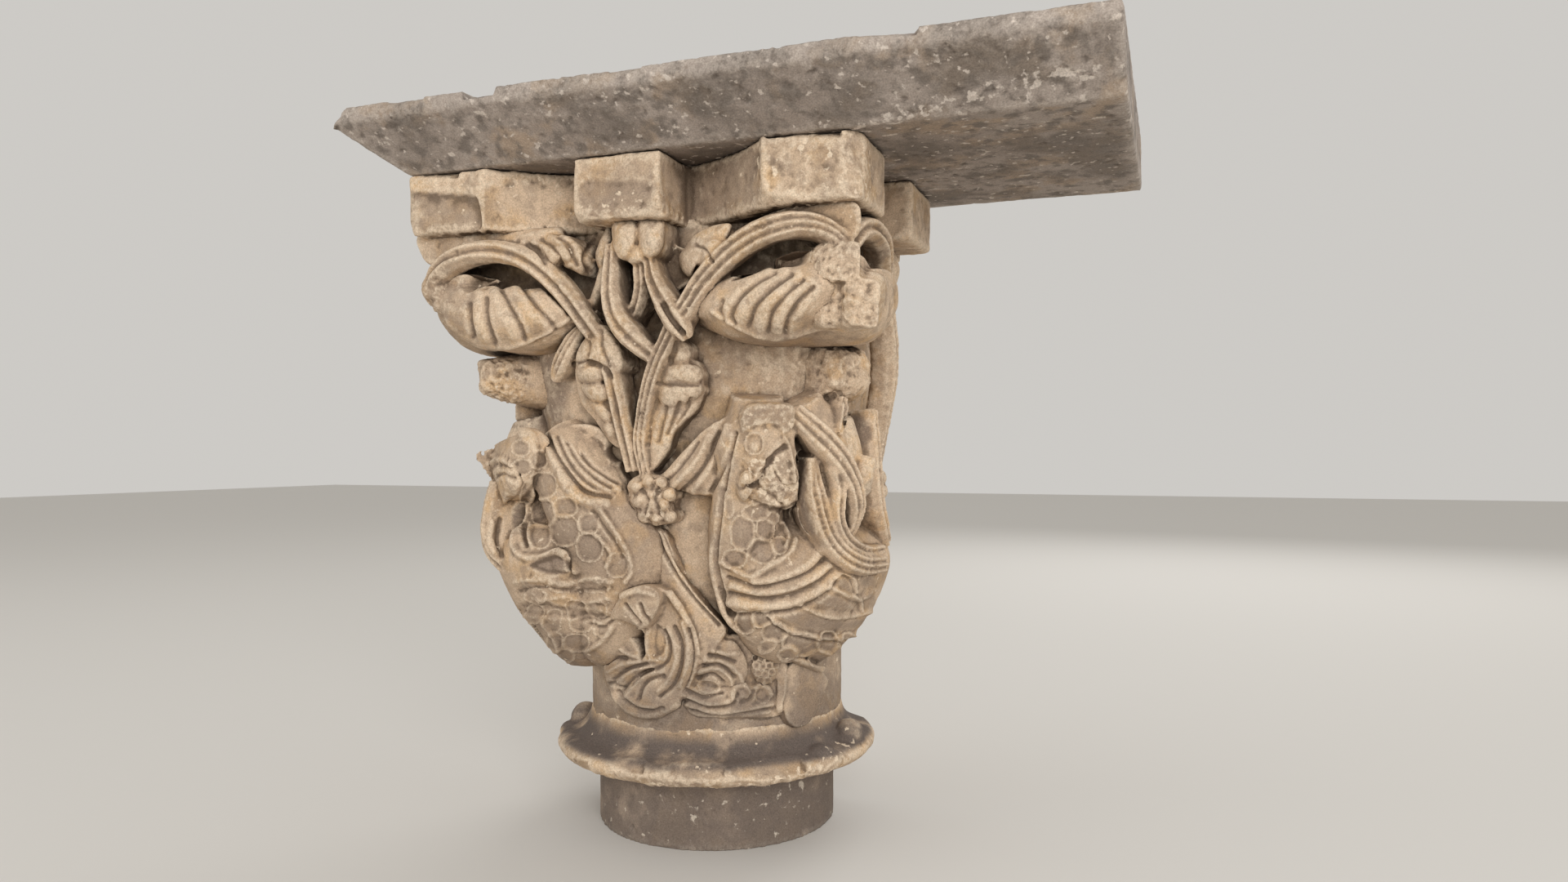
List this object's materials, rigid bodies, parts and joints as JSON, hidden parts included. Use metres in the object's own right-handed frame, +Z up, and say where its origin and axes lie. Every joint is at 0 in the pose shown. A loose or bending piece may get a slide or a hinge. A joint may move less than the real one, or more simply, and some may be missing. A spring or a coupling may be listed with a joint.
{
  "type": "column capital",
  "caption": "Carved stone capital of an engaged column, cut flat at the wall, with its splayed impost slab above and the top of its round shaft below.",
  "frame": {"origin": "centre of the shaft on its cut underside, which the part stands on", "axes": "+Z up the column, -Y out of the carved front face, +Y into the wall, +X along the wall to the right"},
  "size_m": [0.5685, 0.2895, 0.5633],
  "materials": {
    "carved_limestone": "worn, tool-dressed",
    "grey_limestone": "weathered, lichen-mottled",
    "shaft_stone": "smooth, pitted"
  },
  "bodies": {
    "root": {"capital": "carved_limestone", "impost": "grey_limestone", "shaft_stub": "shaft_stone"}
  },
  "joints": []
}
